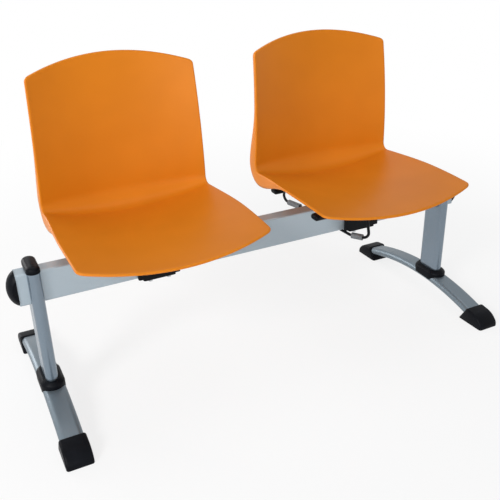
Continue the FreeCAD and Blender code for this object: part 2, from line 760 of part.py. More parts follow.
def make_saddle(name, side):
    """A cast block over the beam, with webbed arms to the two cross bars."""
    saddle = place(new_body(name), SEAT_X * side, BEAM_Y, BEAM_TOP)
    inner = S.beam_thick * HALF + S.fit_gap
    outer = inner + S.saddle_cheek
    block = sketch_on(saddle, "YZ_Plane")
    rectangle(block, -outer, outer, -S.beam_tall, S.saddle_plate)
    pad(saddle, block, S.saddle_wide, both_ways=True)
    soften(saddle, "Fillet", S.saddle_round, upright_edge(-S.beam_tall.value, S.saddle_plate.value))
    arms = sketch_on(saddle, "XY_Plane")
    front = -(S.front_bar_y + S.cross_deep * HALF)
    rear = S.rear_bar_y + S.cross_deep * HALF
    rectangle(arms, -S.saddle_arm * HALF, S.saddle_arm * HALF, front, rear)
    pad(saddle, arms, S.saddle_plate)
    webs = sketch_on(saddle, "YZ_Plane")
    shoulder = -S.beam_tall * HALF
    tips = ((front + S.cross_deep, 0), (rear - S.cross_deep, 0))
    polygon(webs, [tips[0], (-inner, shoulder), (inner, shoulder), tips[1]])
    pad(saddle, webs, S.saddle_web, both_ways=True)
    opening = sketch_on(saddle, "YZ_Plane")
    rectangle(opening, -inner, inner, -(S.beam_tall + S.saddle_plate), 0)
    pocket(saddle, opening)
    holes = sketch_on(saddle, "XY_Plane")
    for along in (-1, 1):
        for across in (-1, 1):
            circle(holes, S.clamp_bolt_x * along, CLAMP_BOLT_Y * across, S.bolt_six * HALF + S.fit_gap)
        for bar_y in (-S.front_bar_y, S.rear_bar_y):
            circle(holes, S.bar_screw_x * along, bar_y, S.bolt_six * HALF + S.fit_gap)
    pocket(saddle, holes)
    keep(name, saddle)


def make_clamp(side_name, side):
    """The plate under the beam, its four bolts and their nuts on top of the saddle."""
    plate = place(new_body(f"clamp_plate_{side_name}"), SEAT_X * side, BEAM_Y, S.beam_under - S.clamp_thick)
    outline = sketch_on(plate, "XY_Plane")
    rounded(outline, S.clamp_wide * HALF, CLAMP_BOLT_Y + S.saddle_cheek * HALF, S.saddle_cheek * HALF)
    pad(plate, outline, S.clamp_thick)
    holes = sketch_on(plate, "XY_Plane")
    bolts = []
    nuts = []
    length = S.clamp_thick + S.beam_tall + S.saddle_plate + S.bolt_six
    for along in (-1, 1):
        for across in (-1, 1):
            x = S.clamp_bolt_x * along
            y = CLAMP_BOLT_Y * across
            circle(holes, x, y, S.bolt_six * HALF + S.fit_gap)
            bolt = hex_bolt(f"clamp_bolt_{side_name}_{len(bolts) + 1}", S.bolt_six, length)
            place(bolt, SEAT_X * side + x, BEAM_Y + y, S.beam_under - S.clamp_thick)
            bolts.append(bolt)
            nut = hex_nut(f"clamp_nut_{side_name}_{len(nuts) + 1}", S.bolt_six)
            place(nut, SEAT_X * side + x, BEAM_Y + y, BEAM_TOP + S.saddle_plate)
            nuts.append(nut)
    pocket(plate, holes)
    keep(f"clamp_plate_{side_name}", plate)
    group(f"clamp_bolts_{side_name}", bolts)
    group(f"clamp_nuts_{side_name}", nuts)


def make_cross_bar(name, side, bar_y, wire_hole):
    """A flat-oval tube across the seat, drilled for the shell and saddle screws."""
    bar = place(new_body(name), SEAT_X * side, BEAM_Y + bar_y, CROSS_MID)
    outline = sketch_on(bar, "YZ_Plane")
    stadium(outline, 0, 0, S.cross_deep * HALF, S.cross_tall * HALF, False)
    pad(bar, outline, S.cross_long, both_ways=True)
    bore = sketch_on(bar, "YZ_Plane")
    stadium(bore, 0, 0, S.cross_deep * HALF - S.cross_wall, S.cross_tall * HALF - S.cross_wall, False)
    pocket(bar, bore)
    holes = sketch_on(bar, "XY_Plane")
    for along in (-1, 1):
        circle(holes, S.shell_screw_x * along, 0, S.bolt_six * HALF + S.fit_gap)
        circle(holes, S.bar_screw_x * along, 0, S.bolt_six * HALF + S.fit_gap)
    pocket(bar, holes)
    if wire_hole is not None:
        plane, x, slack = wire_hole
        seat = sketch_on(bar, plane)
        circle(seat, x, 0, S.wire_thick * HALF + slack)
        pocket(bar, seat, S.cross_deep)
    keep(name, bar)


def make_bar_plug(name, x, y, turn):
    """A round-nosed plug for one end of a cross bar."""
    plug = place(new_body(name), x, y, CROSS_MID, turn)
    outline = sketch_on(plug, "YZ_Plane")
    stadium(outline, 0, 0, S.cross_deep * HALF, S.cross_tall * HALF, False)
    pad(plug, outline, S.plug_long)
    soften(plug, "Fillet", S.plug_round, lies_at("X", S.plug_long.value))
    tongue = sketch_on(plug, "YZ_Plane")
    slack = S.cross_wall + S.fit_gap
    stadium(tongue, 0, 0, S.cross_deep * HALF - slack, S.cross_tall * HALF - slack, False)
    pad(plug, tongue, S.plug_tongue, reverse=True)
    return plug


def make_carrier(side_name, side):
    """Saddle, clamp, cross bars, plugs and screws of one seat."""
    make_saddle(f"saddle_{side_name}", side)
    make_clamp(side_name, side)
    wired = side > 0
    front_hole = ("XY_Plane", as_size(WIRE_TOP_X) + S.wire_slack - SEAT_X, S.wire_slack) if wired else None
    rear_hole = ("XZ_Plane", as_size(WIRE_REAR_X) - SEAT_X, S.fit_gap) if wired else None
    make_cross_bar(f"front_bar_{side_name}", side, -S.front_bar_y, front_hole)
    make_cross_bar(f"rear_bar_{side_name}", side, S.rear_bar_y, rear_hole)
    plugs = []
    bar_screws = []
    shell_screws = []
    for bar_y in (-S.front_bar_y, S.rear_bar_y):
        for along in (-1, 1):
            number = len(plugs) + 1
            middle = SEAT_X * side
            y = BEAM_Y + bar_y
            end = middle + S.cross_long * HALF * along
            plugs.append(make_bar_plug(f"bar_plug_{side_name}_{number}", end, y, 0 if along > 0 else 180))
            reach = S.saddle_plate + S.cross_tall - S.cross_wall
            short = hex_bolt(f"bar_screw_{side_name}_{number}", S.bolt_six, reach)
            place(short, middle + S.bar_screw_x * along, y, BEAM_TOP)
            bar_screws.append(short)
            reach = S.cross_tall + S.shell_screw_bite
            long = hex_bolt(f"shell_screw_{side_name}_{number}", S.bolt_six, reach)
            place(long, middle + S.shell_screw_x * along, y, CROSS_UNDER)
            shell_screws.append(long)
    group(f"bar_plugs_{side_name}", plugs)
    group(f"bar_screws_{side_name}", bar_screws)
    group(f"shell_screws_{side_name}", shell_screws)


# Seat shell

def ease(share):
    """A smooth step from 0 to 1."""
    share = min(1.0, max(0.0, share))
    return share * share * (3 - 2 * share)


def mix(first, last, share):
    return first + (last - first) * share


def shell_heading(reach):
    """Heading of the side profile in degrees from +Y. reach starts at the bend, and forward is negative."""
    bend = S.bend_long.value
    if reach < 0:
        return PAN_REAR_HEADING - PAN_BOW * reach / S.pan_middle_long.value
    if reach < bend:
        return PAN_REAR_HEADING + BEND_TURN * ease(reach / bend)
    return PAN_REAR_HEADING + BEND_TURN - BACK_BOW * (reach - bend) / S.back_middle_long.value


def shell_profile(reach):
    """Follow the headings from the bend's start to a place on the side profile."""
    steps = int(abs(reach) / PROFILE_STEP) + 1
    step = reach / steps
    y = S.pan_rear_y.value
    z = S.pan_rear_z.value
    for number in range(steps):
        heading = math.radians(shell_heading((number + 0.5) * step))
        y += math.cos(heading) * step
        z += math.sin(heading) * step
    return y, z, math.radians(shell_heading(reach))


def shell_half(reach):
    """Half width of the shell."""
    if reach < 0:
        share = -reach / S.pan_middle_long.value
        if share < 0.5:
            return mix(S.bend_half.value, S.middle_half.value, ease(share * 2))
        return mix(S.middle_half.value, S.front_half.value, ease(share * 2 - 1))
    share = max(0, reach - S.bend_long.value) / S.back_middle_long.value
    return mix(S.bend_half.value, S.top_half.value, share)


def shell_dish(reach):
    """How hollow the shell is across its width."""
    if reach < 0:
        return mix(S.bend_dish.value, S.front_dish.value, ease(-reach / S.pan_middle_long.value))
    return mix(S.bend_dish.value, S.back_dish.value, ease(reach / S.rim_fade.value))


def shell_rim(reach):
    """How deep the rim reaches behind the sitting face."""
    if reach < 0:
        return mix(S.bend_rim.value, S.front_rim.value, ease(-reach / S.rim_fade.value))
    return mix(S.bend_rim.value, S.back_rim.value, ease((reach - S.bend_long.value) / S.rim_fade.value))


def shell_point(across, along, inset, depth):
    """A point of the shell. across runs from -1 to 1, along from 0 at the front edge to 1 at the top edge.

    inset draws the outline in, and depth gives how far the point lies behind the sitting face.
    """
    bend = S.bend_long.value
    spill = bend * BEND_SPILL
    bow = across * across
    front = inset - mix(S.pan_middle_long.value, S.pan_side_long.value, bow)
    top = bend - inset + mix(S.back_middle_long.value, S.back_side_long.value, bow)
    near, far = BEND_SHARES
    if along < near:
        reach = mix(front, -spill, along / near)
    elif along < far:
        reach = mix(-spill, bend + spill, (along - near) / (far - near))
    else:
        reach = mix(bend + spill, top, (along - far) / (1 - far))
    y, z, heading = shell_profile(reach)
    full = shell_half(reach)
    x = across * (full - inset)
    height = -shell_dish(reach) * (1 - (x / full) ** 2) - depth(reach)
    return Vector(x, y - math.sin(heading) * height, z + math.cos(heading) * height)


def shell_stations():
    """Where the surfaces are set out along the shell: evenly in the pan, close together in the bend."""
    near, far = BEND_SHARES
    pan = [near * number / PAN_ROWS for number in range(PAN_ROWS)]
    bend = [mix(near, far, number / BEND_ROWS) for number in range(BEND_ROWS)]
    back = [mix(far, 1, number / BACK_ROWS) for number in range(BACK_ROWS + 1)]
    return pan + bend + back


def shell_face(inset, depth):
    columns = [mix(-1, 1, number / COLUMNS) for number in range(COLUMNS + 1)]
    grid = [[shell_point(across, along, inset, depth) for across in columns] for along in shell_stations()]
    surface = Part.BSplineSurface()
    surface.interpolate(grid)
    return surface.toShape()


def shell_solid(inset, top_depth, under_depth):
    """The solid between two smooth faces, closed by ruled walls round their edges."""
    top = shell_face(inset, top_depth)
    under = shell_face(inset, under_depth)
    walls = [Part.makeRuledSurface(upper, lower) for upper, lower in zip(top.Edges, under.Edges)]
    skin = Part.makeShell([top, under] + walls)
    skin.sewShape()
    solid = Part.makeSolid(skin)
    if solid.Volume < 0:
        solid.reverse()
    return solid


def sitting_point(across, along):
    """A point of the sitting face itself."""
    return shell_point(across, along, 0, lambda reach: 0)


def corner_cutters(inset):
    """Solids that take the shell's four corners down to rounds, inset for the hollow behind."""
    cutters = []
    for side in (-1, 1):
        for along, radius, plane in ((0, S.front_corner.value, "flat"), (1, S.top_corner.value, "upright")):
            corner = sitting_point(side, along)
            beside = sitting_point(side * (1 - SIGHT_ACROSS), along)
            above = sitting_point(side, abs(along - SIGHT_ALONG))
            cutters.append(corner_cutter(corner, beside, above, radius, inset, plane))
    return cutters


def corner_cutter(corner, beside, above, radius, inset, plane):
    """A prism over a corner, less a cylinder that touches both of its edges."""
    keep_axis = Vector(0, 0, 1) if plane == "flat" else Vector(0, 1, 0)
    corner, beside, above = [spot - keep_axis * spot.dot(keep_axis) for spot in (corner, beside, above)]
    first = (beside - corner).normalize()
    second = (above - corner).normalize()
    half_angle = first.getAngle(second) / 2
    setback = radius / math.tan(half_angle)
    centre = corner + (first + second).normalize() * (radius / math.sin(half_angle))
    touches = [corner + way * setback for way in (first, second)]
    outward = [(touch - centre).normalize() * radius for touch in touches]
    rim = [touches[0] + outward[0], corner + outward[0] + outward[1], touches[1] + outward[1], centre]
    shift = keep_axis * -CORNER_REACH
    outline = Part.makePolygon([point + shift for point in rim] + [rim[0] + shift])
    prism = Part.Face(outline).extrude(keep_axis * (CORNER_REACH * 2))
    core = Part.makeCylinder(radius - inset, CORNER_REACH * 2, centre + shift, keep_axis)
    return prism.cut(core)


def pan_height(x, y):
    """Height of the sitting face over a place in the pan, found by halving."""
    front = 0
    rear = BEND_SHARES[0]
    across = x / S.middle_half.value
    while rear - front > SEARCH_END:
        middle = (front + rear) / 2
        if sitting_point(across, middle).y < y:
            front = middle
        else:
            rear = middle
    return sitting_point(across, rear).z


def boss_posts(radius, into):
    """Cylinders on the four shell screws, from the cross bars up to a depth under the sitting face."""
    posts = []
    for y in (-S.front_bar_y.value, S.rear_bar_y.value):
        tall = pan_height(S.shell_screw_x.value, y) - CROSS_TOP.value - into
        for along in (-1, 1):
            foot = Vector(S.shell_screw_x.value * along, y, CROSS_TOP.value)
            posts.append(Part.makeCylinder(radius, tall, foot))
    return posts


def make_shell(name, side):
    """The moulded shell: hollowed from behind by a core that leaves a skin, a rim, bosses and ribs."""
    wall = S.shell_wall.value
    outer = shell_solid(0, lambda reach: 0, shell_rim)
    core = shell_solid(wall, lambda reach: wall, lambda reach: shell_rim(reach) + wall * 2)
    outer = outer.cut(corner_cutters(0))
    core = core.cut(corner_cutters(wall))
    core = core.cut(boss_posts(S.boss_radius.value, 0)).cut(make_ribs())
    shell = outer.fuse(boss_posts(S.boss_radius.value, wall / 2)).cut(core)
    pilot = S.bolt_six.value / 2 + S.fit_gap.value / 2
    shell = shell.cut(boss_posts(pilot, S.pilot_skin.value))
    if len(shell.Solids) != 1:
        raise RuntimeError("the shell isn't one piece")
    piece = doc.addObject("Part::Feature", name)
    piece.Shape = shell.Solids[0]
    place(piece, SEAT_X * side, BEAM_Y)
    keep(name, piece)


def make_ribs():
    """Thin walls under the pan, two along the seat and two across it, taller than the core that they cut."""
    thick = S.rib_thick.value
    low = CROSS_TOP.value + S.rib_gap.value
    high = S.pan_rear_z.value + S.bend_dish.value
    reach = S.shell_screw_x.value
    front = -S.front_bar_y.value
    rear = S.rear_bar_y.value
    tall = high - low
    walls = []
    for x in (-reach, reach):
        walls.append(Part.makeBox(thick, rear - front, tall, Vector(x - thick / 2, front, low)))
    for y in (front, rear):
        walls.append(Part.makeBox(reach * 2, thick, tall, Vector(-reach, y - thick / 2, low)))
    return walls[0].multiFuse(walls[1:])


# Wire loop

def wire_points():
    """The corners of the wire's route, from the front cross bar down, under the beam and up to the rear."""
    low = S.wire_low.value
    front_y = BEAM_Y.value - S.front_bar_y.value
    rear_y = BEAM_Y.value + S.rear_bar_y.value
    bore_radius = S.cross_tall.value / 2 - S.cross_wall.value
    bore_reach = math.sqrt(bore_radius ** 2 - (S.wire_thick.value / 2) ** 2)
    stop_y = rear_y - (S.cross_deep.value - S.cross_tall.value) / 2 - bore_reach
    return [
        Vector(WIRE_TOP_X, front_y, CROSS_TOP.value - S.cross_wall.value - S.wire_stop.value),
        Vector(WIRE_FRONT_X, front_y, low),
        Vector(WIRE_NEAR_X, BEAM_Y.value + WIRE_NEAR_Y, low),
        Vector(WIRE_FAR_X, BEAM_Y.value + WIRE_FAR_Y, low),
        Vector(WIRE_REAR_X, BEAM_Y.value + WIRE_REAR_Y, low),
        Vector(WIRE_REAR_X, BEAM_Y.value + WIRE_RISE_Y, CROSS_MID.value),
        Vector(WIRE_REAR_X, stop_y, CROSS_MID.value),
    ]


def setback(before, corner, after):
    """How far from a corner its bend starts."""
    half_angle = (before - corner).getAngle(after - corner) / 2
    return S.wire_bend.value / math.tan(half_angle)


def bent_path(points):
    """Straight runs joined by tangent arcs of the wire's bend radius."""
    radius = S.wire_bend.value
    edges = []
    start = points[0]
    for before, corner, after in zip(points, points[1:], points[2:]):
        inward = (before - corner).normalize()
        outward = (after - corner).normalize()
        length = setback(before, corner, after)
        first = corner + inward * length
        last = corner + outward * length
        bisector = (inward + outward).normalize()
        middle = corner + bisector * (math.hypot(length, radius) - radius)
        edges.append(Part.LineSegment(start, first).toShape())
        edges.append(Part.Arc(first, middle, last).toShape())
        start = last
    edges.append(Part.LineSegment(start, points[-1]).toShape())
    return Part.Wire(edges)


def make_wire_loop():
    points = wire_points()
    path = bent_path(points)
    ring = Part.Wire([Part.makeCircle(S.wire_thick.value / 2, points[0], points[1] - points[0])])
    loop = doc.addObject("Part::Feature", "wire_loop")
    loop.Shape = path.makePipeShell([ring], True, False)
    expected = math.pi * (S.wire_thick.value / 2) ** 2 * path.Length
    if abs(loop.Shape.Volume / expected - 1) > WIRE_NEAR:
        raise RuntimeError("the wire's volume is not its section times its length")
    keep("wire_loop", loop)
    make_sleeve("wire_sleeve_front", points[0:4], S.front_sleeve_long.value)
    make_sleeve("wire_sleeve_rear", points[2:6], S.rear_sleeve_long.value)


def make_sleeve(name, corners, length):
    """A soft tube in the middle of the straight stretch between the second and third of four corners."""
    before, start, end, after = corners
    way = (end - start).normalize()
    first = start + way * setback(before, start, end)
    last = end - way * setback(start, end, after)
    base = (first + last) * 0.5 - way * (length / 2)
    tube = Part.makeCylinder(S.sleeve_thick.value / 2, length, base, way)
    bore = Part.makeCylinder(S.wire_thick.value / 2 + S.fit_gap.value / 2, length, base, way)
    sleeve = doc.addObject("Part::Feature", name)
    sleeve.Shape = tube.cut(bore)
    keep(name, sleeve)


def make_bench():
    make_beam()
    for side_name, side in SIDES:
        make_beam_cap(f"beam_cap_{side_name}", side)
        make_upright(f"upright_{side_name}", side)
        make_upright_cap(f"upright_cap_{side_name}", side)
        make_foot_insert(f"foot_insert_{side_name}", side)
        make_foot_arch(f"foot_arch_{side_name}", side)
        make_foot_cap(f"foot_cap_{side_name}_front", side, 0)
        make_foot_cap(f"foot_cap_{side_name}_rear", side, 180)
        make_collar(f"collar_{side_name}", side)
        make_leg_fasteners(side_name, side)
        make_carrier(side_name, side)
        make_shell(f"seat_shell_{side_name}", side)
    make_wire_loop()


def check_document():
    doc.recompute()
    for thing in doc.Objects:
        if "Invalid" in thing.State or "Error" in thing.State:
            raise RuntimeError(f"{thing.Name} failed: {thing.State}")
    for label, thing in finished.items():
        if thing.Shape.isNull() or not thing.Shape.isValid():
            raise RuntimeError(f"{label} has no valid shape")


def write_parts():
    os.makedirs("parts", exist_ok=True)
    for label, thing in finished.items():
        thing.Shape.exportStep(f"parts/{label}.step")
        box = thing.Shape.BoundBox
        spans_mm = [round(value, 1) for value in (box.XLength, box.YLength, box.ZLength)]
        print(label, len(thing.Shape.Solids), round(thing.Shape.Volume), spans_mm)


make_bench()
check_document()
write_parts()
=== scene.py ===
"""Beam seating: two orange moulded shells on a silver beam with arched feet."""

import json
import math

import bmesh
import bpy
from mathutils import Matrix, Vector


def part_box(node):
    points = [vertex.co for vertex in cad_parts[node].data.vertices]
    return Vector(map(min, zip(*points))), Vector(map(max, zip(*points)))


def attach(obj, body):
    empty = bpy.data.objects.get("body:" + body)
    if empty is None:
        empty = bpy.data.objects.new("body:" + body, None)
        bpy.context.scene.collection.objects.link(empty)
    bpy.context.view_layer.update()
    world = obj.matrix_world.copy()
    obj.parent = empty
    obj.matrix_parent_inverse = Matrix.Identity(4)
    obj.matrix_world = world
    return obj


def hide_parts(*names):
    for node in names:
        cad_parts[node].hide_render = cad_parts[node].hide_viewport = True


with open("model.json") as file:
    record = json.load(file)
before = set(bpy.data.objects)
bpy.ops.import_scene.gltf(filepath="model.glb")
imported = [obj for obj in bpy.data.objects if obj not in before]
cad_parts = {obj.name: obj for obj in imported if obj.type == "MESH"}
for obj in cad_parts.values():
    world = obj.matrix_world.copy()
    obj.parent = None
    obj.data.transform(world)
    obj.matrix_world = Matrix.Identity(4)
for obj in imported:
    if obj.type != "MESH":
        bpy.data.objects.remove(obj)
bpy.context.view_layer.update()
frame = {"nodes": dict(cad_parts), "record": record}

SIDES = (("left", -1), ("right", 1))


def node_box(node):
    low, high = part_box(node)
    return Vector(low), Vector(high)


def middle_of(node):
    low, high = node_box(node)
    return (low + high) / 2


def size_of(node):
    low, high = node_box(node)
    return high - low


# Shared places, in metres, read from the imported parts.
BEAM_MID = middle_of("beam_tube")
SEAT_X = middle_of("saddle_right").x
LEG_X = middle_of("upright_right").x
CROSS_TOP = node_box("front_bar_left")[1].z
FRONT_BAR_Y = middle_of("front_bar_left").y
REAR_BAR_Y = middle_of("rear_bar_left").y

# The feet: the arch of the foot tube, the shoes and the collars.
ARCH_RADIUS = 0.800
ARCH_CREST = 0.062
SHOE_LONG, SHOE_WIDE = 0.090, 0.0635
SHOE_TOP_BACK, SHOE_TOP_FRONT = 0.064, 0.022
SHOE_TALL, SHOE_NOSE_TALL, SHOE_NOSE_FOOT = 0.042, 0.036, 0.014
SHOE_NOSE_ROUND, SHOE_TOE_ROUND, SHOE_TOP_ROUND = 0.015, 0.008, 0.004
SHOE_SIDE_ROUND = 0.008
SOLE_ROUND = 0.0012
COLLAR_SLOPE = 0.008
COLLAR_SHOULDER_ROUND = 0.003
COLLAR_MOUTH_ROUND = 0.0012
COLLAR_MOUTH_GAP = 0.0003
COLLAR_THROAT = 0.012
COLLAR_SINK = 0.001
COLLAR_TOP_BAND = 0.001

# The cap on an upright: its lip, the shadow line above it and its crown.
CAP_LIP_TALL = 0.003
SHADOW_DEEP, SHADOW_TALL, SHADOW_SLOPE = 0.0006, 0.0008, 0.0002
CAP_CROWN_ROUND = 0.0085
CROWN_STEP, CROWN_RISE, CROWN_STEPS = 0.0018, 0.0005, 3

# The seat shell, measured from the beam's middle and the floor, with headings in degrees.
WALL = 0.0045
PAN_REAR_Y = 0.159
PAN_REAR_Z = 0.4337
PAN_SIDE = 0.350
PAN_MIDDLE = 0.391
BEND = 0.040
BACK_SIDE = 0.303
BACK_MIDDLE = 0.347
FRONT_HALF, MIDDLE_HALF, BEND_HALF, TOP_HALF = 0.229, 0.232, 0.224, 0.210
FRONT_DISH, BEND_DISH, BACK_DISH = 0.019, 0.030, 0.042
FRONT_RIM, BEND_RIM, BACK_RIM = 0.007, 0.040, 0.014
FADE = 0.160
PAN_REAR_HEADING, PAN_BOW, BEND_TURN, BACK_BOW = -4.0, 9.0, 96.4, 13.0
FRONT_CORNER = 0.013
TOP_CORNER = 0.008
LIP_ROUND = 0.0042

# The screw bosses and ribs under a pan.
SCREW_X = 0.150
BOSS_RADIUS = 0.011
PILOT_RADIUS = 0.00315
PILOT_SHARE = 0.6
BOSS_FOOT_TALL, BOSS_FOOT_SWELL = 0.004, 1.25
RIB_THICK = 0.003
RIB_GAP = 0.005

# How finely the forms are divided, the shares of a shell's length at which its bend lies, how closely
# places agree, and the turns, in radians, past which an edge counts as sharp.
SHELL_COLUMNS, SHELL_ROWS = 56, 110
BEND_SHARES = (0.42, 0.58)
PROFILE_STEP = 0.002
SEARCH_END = 0.0002
RIB_COLUMNS = 24
BOSS_SIDES = 40
RING_SIDES = 64
NEAR = 1e-5
SHARP_TURN = 0.6
SQUARE_TURN = 1.0

FLOOR_HALF = 9.0


# Materials

def new_material(name):
    material = bpy.data.materials.new(name)
    material.use_nodes = True
    nodes = material.node_tree.nodes
    return material, nodes, material.node_tree.links, nodes["Principled BSDF"]


def own_place(nodes):
    """A piece's own coordinates."""
    return nodes.new("ShaderNodeTexCoord").outputs["Object"]


def noise(nodes, links, place, scale, detail):
    texture = nodes.new("ShaderNodeTexNoise")
    texture.inputs["Scale"].default_value = scale
    texture.inputs["Detail"].default_value = detail
    links.new(place, texture.inputs["Vector"])
    return texture.outputs["Fac"]


def ramp(nodes, links, factor, stops):
    """A colour ramp through (place, colour) pairs."""
    band = nodes.new("ShaderNodeValToRGB")
    elements = band.color_ramp.elements
    while len(elements) < len(stops):
        elements.new(0.5)
    for element, (place, colour) in zip(elements, stops):
        element.position = place
        element.color = (*colour, 1)
    links.new(factor, band.inputs["Fac"])
    return band.outputs["Color"]


def levels(nodes, links, factor, low, high):
    """A value spread between two levels."""
    spread = nodes.new("ShaderNodeMapRange")
    spread.inputs["To Min"].default_value = low
    spread.inputs["To Max"].default_value = high
    links.new(factor, spread.inputs["Value"])
    return spread.outputs["Result"]


def grain(nodes, links, shader, height, strength, distance):
    bump = nodes.new("ShaderNodeBump")
    bump.inputs["Strength"].default_value = strength
    bump.inputs["Distance"].default_value = distance
    links.new(height, bump.inputs["Height"])
    links.new(bump.outputs["Normal"], shader.inputs["Normal"])


def orange_shell_plastic():
    """Moulded polypropylene: a fine spark grain, a slightly uneven orange and a soft sheen."""
    material, nodes, links, shader = new_material("orange_shell_plastic")
    place = own_place(nodes)
    cloud = noise(nodes, links, place, 6.0, 2.0)
    colour = ramp(nodes, links, cloud, [(0.3, (0.67, 0.198, 0.007)), (0.7, (0.73, 0.220, 0.009))])
    links.new(colour, shader.inputs["Base Color"])
    fine = noise(nodes, links, place, 1400.0, 2.0)
    links.new(levels(nodes, links, fine, 0.38, 0.48), shader.inputs["Roughness"])
    shader.inputs["Specular IOR Level"].default_value = 0.22
    grain(nodes, links, shader, fine, 0.12, 0.0003)
    return material


def metallic_paint(name, dark, light, metallic, roughness):
    """Fine metallic powder coat: bright flecks in a base colour, and a slightly uneven gloss."""
    material, nodes, links, shader = new_material(name)
    place = own_place(nodes)
    fleck = noise(nodes, links, place, 2200.0, 2.0)
    links.new(ramp(nodes, links, fleck, [(0.3, dark), (0.7, light)]), shader.inputs["Base Color"])
    shader.inputs["Metallic"].default_value = metallic
    wash = noise(nodes, links, place, 9.0, 2.0)
    links.new(levels(nodes, links, wash, roughness - 0.04, roughness + 0.04), shader.inputs["Roughness"])
    grain(nodes, links, shader, fleck, 0.06, 0.0002)
    return material


def silver_beam_paint():
    return metallic_paint("silver_beam_paint", (0.35, 0.42, 0.47), (0.43, 0.50, 0.55), 0.5, 0.38)


# Painted shade: a darker copy of the beam's silver, for the uprights' sides that face away from the lamps.
def upright_silver_with_painted_shade():
    return metallic_paint("upright_silver_with_painted_shade", (0.17, 0.22, 0.27), (0.24, 0.29, 0.34), 0.75, 0.26)


# Painted shade: a darker copy of the beam's silver, for the foot tubes that lie in shadow.
def foot_tube_silver_with_painted_shade():
    return metallic_paint("foot_tube_silver_with_painted_shade", (0.13, 0.17, 0.20), (0.19, 0.23, 0.265), 0.5, 0.40)


def black_cap_plastic():
    """Moulded nylon caps, collars, shoes and plugs, rubbed paler in patches."""
    material, nodes, links, shader = new_material("black_cap_plastic")
    place = own_place(nodes)
    rub = noise(nodes, links, place, 24.0, 4.0)
    colour = ramp(nodes, links, rub, [(0.4, (0.002, 0.0025, 0.004)), (0.8, (0.005, 0.006, 0.009))])
    links.new(colour, shader.inputs["Base Color"])
    links.new(levels(nodes, links, rub, 0.38, 0.52), shader.inputs["Roughness"])
    shader.inputs["Specular IOR Level"].default_value = 0.08
    fine = noise(nodes, links, place, 1800.0, 2.0)
    grain(nodes, links, shader, fine, 0.10, 0.0002)
    return material


def black_frame_coat():
    """Powder coat on the saddles, clamp plates, cross bars and wire, with its orange-peel surface."""
    material, nodes, links, shader = new_material("black_frame_coat")
    place = own_place(nodes)
    peel = noise(nodes, links, place, 420.0, 2.0)
    colour = ramp(nodes, links, peel, [(0.3, (0.003, 0.0035, 0.0045)), (0.7, (0.007, 0.008, 0.010))])
    links.new(colour, shader.inputs["Base Color"])
    links.new(levels(nodes, links, peel, 0.32, 0.44), shader.inputs["Roughness"])
    shader.inputs["Specular IOR Level"].default_value = 0.10
    grain(nodes, links, shader, peel, 0.16, 0.0004)
    return material


def zinc_fastener_steel():
    """Bright zinc plate with a faint cloudy tarnish."""
    material, nodes, links, shader = new_material("zinc_fastener_steel")
    place = own_place(nodes)
    tarnish = noise(nodes, links, place, 160.0, 3.0)
    colour = ramp(nodes, links, tarnish, [(0.3, (0.42, 0.43, 0.45)), (0.7, (0.62, 0.63, 0.64))])
    links.new(colour, shader.inputs["Base Color"])
    shader.inputs["Metallic"].default_value = 1.0
    links.new(levels(nodes, links, tarnish, 0.26, 0.42), shader.inputs["Roughness"])
    return material


def grey_sleeve_plastic():
    """Soft tube on the wire."""
    material, nodes, links, shader = new_material("grey_sleeve_plastic")
    place = own_place(nodes)
    cloud = noise(nodes, links, place, 120.0, 3.0)
    colour = ramp(nodes, links, cloud, [(0.3, (0.10, 0.11, 0.12)), (0.7, (0.16, 0.17, 0.18))])
    links.new(colour, shader.inputs["Base Color"])
    links.new(levels(nodes, links, cloud, 0.42, 0.56), shader.inputs["Roughness"])
    return material


def away_from_bench(nodes, links, place):
    """A share that grows from the bench outwards, so that the floor ends in plain white."""
    distance = nodes.new("ShaderNodeVectorMath")
    distance.operation = "LENGTH"
    links.new(place, distance.inputs[0])
    spread = nodes.new("ShaderNodeMapRange")
    spread.interpolation_type = "SMOOTHSTEP"
    spread.inputs["From Min"].default_value = 0.5
    spread.inputs["From Max"].default_value = 2.4
    spread.inputs["To Min"].default_value = 0.80
    spread.inputs["To Max"].default_value = 1.0
    links.new(distance.outputs["Value"], spread.inputs["Value"])
    return spread.outputs["Result"]


def seen_directly(nodes, links):
    """1 for what the camera sees straight, in a gloss or through glass, and 0 for the light itself."""
    path = nodes.new("ShaderNodeLightPath")
    seen = path.outputs["Is Camera Ray"]
    for kind in ("Is Glossy Ray", "Is Transmission Ray"):
        either = nodes.new("ShaderNodeMath")
        either.operation = "MAXIMUM"
        links.new(seen, either.inputs[0])
        links.new(path.outputs[kind], either.inputs[1])
        seen = either.outputs["Value"]
    return seen


def studio_floor():
    """A pale floor that looks almost white and keeps a faint shadow."""
    material, nodes, links, shader = new_material("studio_floor")
    place = own_place(nodes)
    cloud = noise(nodes, links, place, 1.5, 2.0)
    colour = ramp(nodes, links, cloud, [(0.3, (0.90, 0.90, 0.90)), (0.7, (0.92, 0.92, 0.92))])
    links.new(colour, shader.inputs["Base Color"])
    shader.inputs["Roughness"].default_value = 0.8
    white = nodes.new("ShaderNodeEmission")
    blend = nodes.new("ShaderNodeMixShader")
    part = nodes.new("ShaderNodeMath")
    part.operation = "MULTIPLY"
    links.new(seen_directly(nodes, links), part.inputs[0])
    links.new(away_from_bench(nodes, links, place), part.inputs[1])
    links.new(part.outputs["Value"], blend.inputs["Fac"])
    links.new(shader.outputs["BSDF"], blend.inputs[1])
    links.new(white.outputs["Emission"], blend.inputs[2])
    links.new(blend.outputs["Shader"], nodes["Material Output"].inputs["Surface"])
    return material


FINISHES = {
    "orange_plastic": orange_shell_plastic(),
    "silver_paint": silver_beam_paint(),
    "foot_paint": foot_tube_silver_with_painted_shade(),
    "black_plastic": black_cap_plastic(),
    "black_steel": black_frame_coat(),
    "zinc_steel": zinc_fastener_steel(),
    "grey_plastic": grey_sleeve_plastic(),
}


